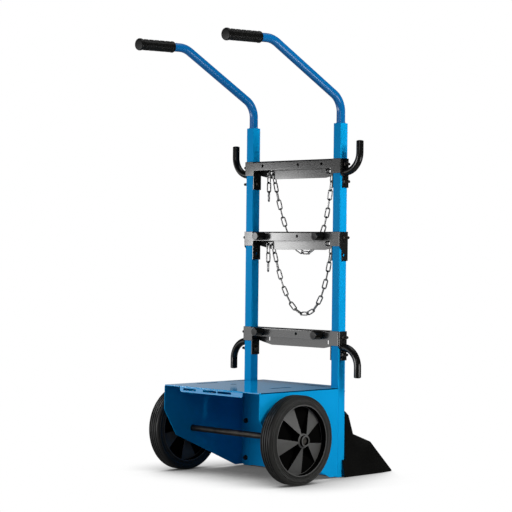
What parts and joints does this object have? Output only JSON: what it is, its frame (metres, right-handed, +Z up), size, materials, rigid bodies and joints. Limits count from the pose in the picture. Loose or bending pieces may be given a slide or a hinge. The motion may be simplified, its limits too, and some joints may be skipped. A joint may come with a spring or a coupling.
{
  "type": "welding cart",
  "caption": "Two-wheeled upright welding cart with a machine deck, a toe plate and chained brackets for a gas cylinder, cable hooks and bent handles with rubber grips.",
  "frame": {"origin": "On the floor, under the middle of the whole cart's box", "axes": "+Z up, +Y forward over the toe plate, away from the person at the handles, +X to that person's right"},
  "size_m": [0.536, 0.6846, 1.2531],
  "materials": {
    "blue_paint": "gloss powder coat",
    "black_paint": "gloss powder coat",
    "tyre_rubber": "matte with grooves",
    "grip_rubber": "matte, ribbed",
    "rim_plastic": "moulded, satin",
    "bush_nylon": "moulded, satin",
    "dark_steel": "dark, lightly oiled",
    "zinc_steel": "zinc plated"
  },
  "bodies": {
    "frame": {"upright_left": "blue_paint", "handle_left": "blue_paint", "grip_left": "grip_rubber", "side_panel_left": "blue_paint", "axle_retainer_left": "dark_steel", "axle_spacer_left": "dark_steel", "frame_bolt_left_1": "dark_steel", "frame_bolt_left_2": "dark_steel", "frame_bolt_left_3": "dark_steel", "upright_right": "blue_paint", "handle_right": "blue_paint", "grip_right": "grip_rubber", "side_panel_right": "blue_paint", "axle_retainer_right": "dark_steel", "axle_spacer_right": "dark_steel", "frame_bolt_right_1": "dark_steel", "frame_bolt_right_2": "dark_steel", "frame_bolt_right_3": "dark_steel", "deck": "blue_paint", "bay_wall": "blue_paint", "axle": "dark_steel", "toe_plate": "black_paint", "toe_wing_left": "black_paint", "toe_wing_right": "black_paint", "bracket_upper": "black_paint", "collar_bolt_upper_left_1": "dark_steel", "collar_bolt_upper_left_2": "dark_steel", "hook_upper_left": "black_paint", "collar_bolt_upper_right_1": "dark_steel", "collar_bolt_upper_right_2": "dark_steel", "hook_upper_right": "black_paint", "chain_anchor_upper_left": "zinc_steel", "chain_anchor_upper_right": "zinc_steel", "bracket_middle": "black_paint", "collar_bolt_middle_left_1": "dark_steel", "peg_middle_left": "black_paint", "collar_bolt_middle_right_1": "dark_steel", "peg_middle_right": "black_paint", "chain_anchor_middle_left": "zinc_steel", "chain_anchor_middle_right": "zinc_steel", "bracket_lower": "black_paint", "collar_bolt_lower_left_1": "dark_steel", "collar_bolt_lower_left_2": "dark_steel", "hook_lower_left": "black_paint", "peg_lower_left": "black_paint", "collar_bolt_lower_right_1": "dark_steel", "collar_bolt_lower_right_2": "dark_steel", "hook_lower_right": "black_paint", "peg_lower_right": "black_paint"},
    "wheel_left": {"tyre_left": "tyre_rubber", "wheel_rim_left": "rim_plastic", "wheel_bush_left": "bush_nylon"},
    "wheel_right": {"tyre_right": "tyre_rubber", "wheel_rim_right": "rim_plastic", "wheel_bush_right": "bush_nylon"},
    "upper_chain": {"chain_loop_upper": "zinc_steel"},
    "middle_chain": {"chain_loop_middle": "zinc_steel"},
    "upper_chain_tail": {"chain_tail_upper": "zinc_steel"},
    "middle_chain_tail": {"chain_tail_middle": "zinc_steel"}
  },
  "joints": [
    {"name": "wheel_left_spin", "type": "hinge", "parent": "frame", "child": "wheel_left", "pos_m": [-0.232, -0.10167, 0.125], "axis": [1, 0, 0], "continuous": true},
    {"name": "wheel_right_spin", "type": "hinge", "parent": "frame", "child": "wheel_right", "pos_m": [0.232, -0.10167, 0.125], "axis": [1, 0, 0], "continuous": true},
    {"name": "upper_chain_swing", "type": "hinge", "parent": "frame", "child": "upper_chain", "pos_m": [0.003, 0.14713, 0.88275], "axis": [1, 0, 0], "range_deg": [0, 70]},
    {"name": "middle_chain_swing", "type": "hinge", "parent": "frame", "child": "middle_chain", "pos_m": [0.003, 0.14713, 0.67175], "axis": [1, 0, 0], "range_deg": [0, 70]},
    {"name": "upper_tail_swing", "type": "hinge", "parent": "frame", "child": "upper_chain_tail", "pos_m": [-0.118, 0.12713, 0.88275], "axis": [1, 0, 0], "range_deg": [-60, 0]},
    {"name": "middle_tail_swing", "type": "hinge", "parent": "frame", "child": "middle_chain_tail", "pos_m": [-0.118, 0.12713, 0.67175], "axis": [1, 0, 0], "range_deg": [-60, 0]}
  ]
}
